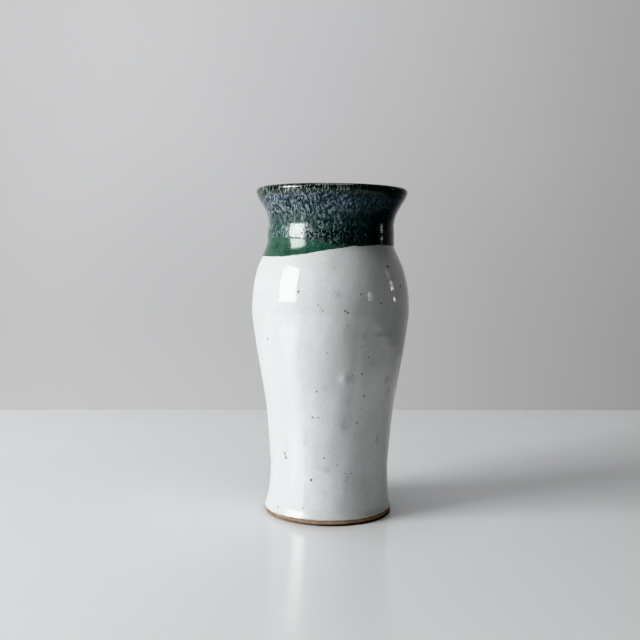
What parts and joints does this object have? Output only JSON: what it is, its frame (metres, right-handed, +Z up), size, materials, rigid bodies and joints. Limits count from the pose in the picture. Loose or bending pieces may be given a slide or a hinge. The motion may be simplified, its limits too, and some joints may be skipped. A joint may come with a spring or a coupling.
{
  "type": "ceramic flower vase",
  "caption": "Wheel-thrown stoneware vase with a swelling belly, narrow neck, flared open mouth, dipped glaze collar and bare clay foot.",
  "frame": {"origin": "centre of the flat ring that the foot stands on", "axes": "+Z up along the axis of the wheel; -Y is the front, and the collar's lower edge rises towards +X"},
  "size_m": [0.0928, 0.0928, 0.19],
  "materials": {
    "bare_clay": "matt",
    "white_glaze": "gloss",
    "liner_glaze": "gloss",
    "green_glaze": "gloss",
    "mottled_glaze": "gloss"
  },
  "bodies": {
    "root": {"clay_body": "bare_clay", "white_glaze": "white_glaze", "liner_glaze": "liner_glaze", "green_glaze": "green_glaze", "mottled_glaze": "mottled_glaze"}
  },
  "joints": []
}
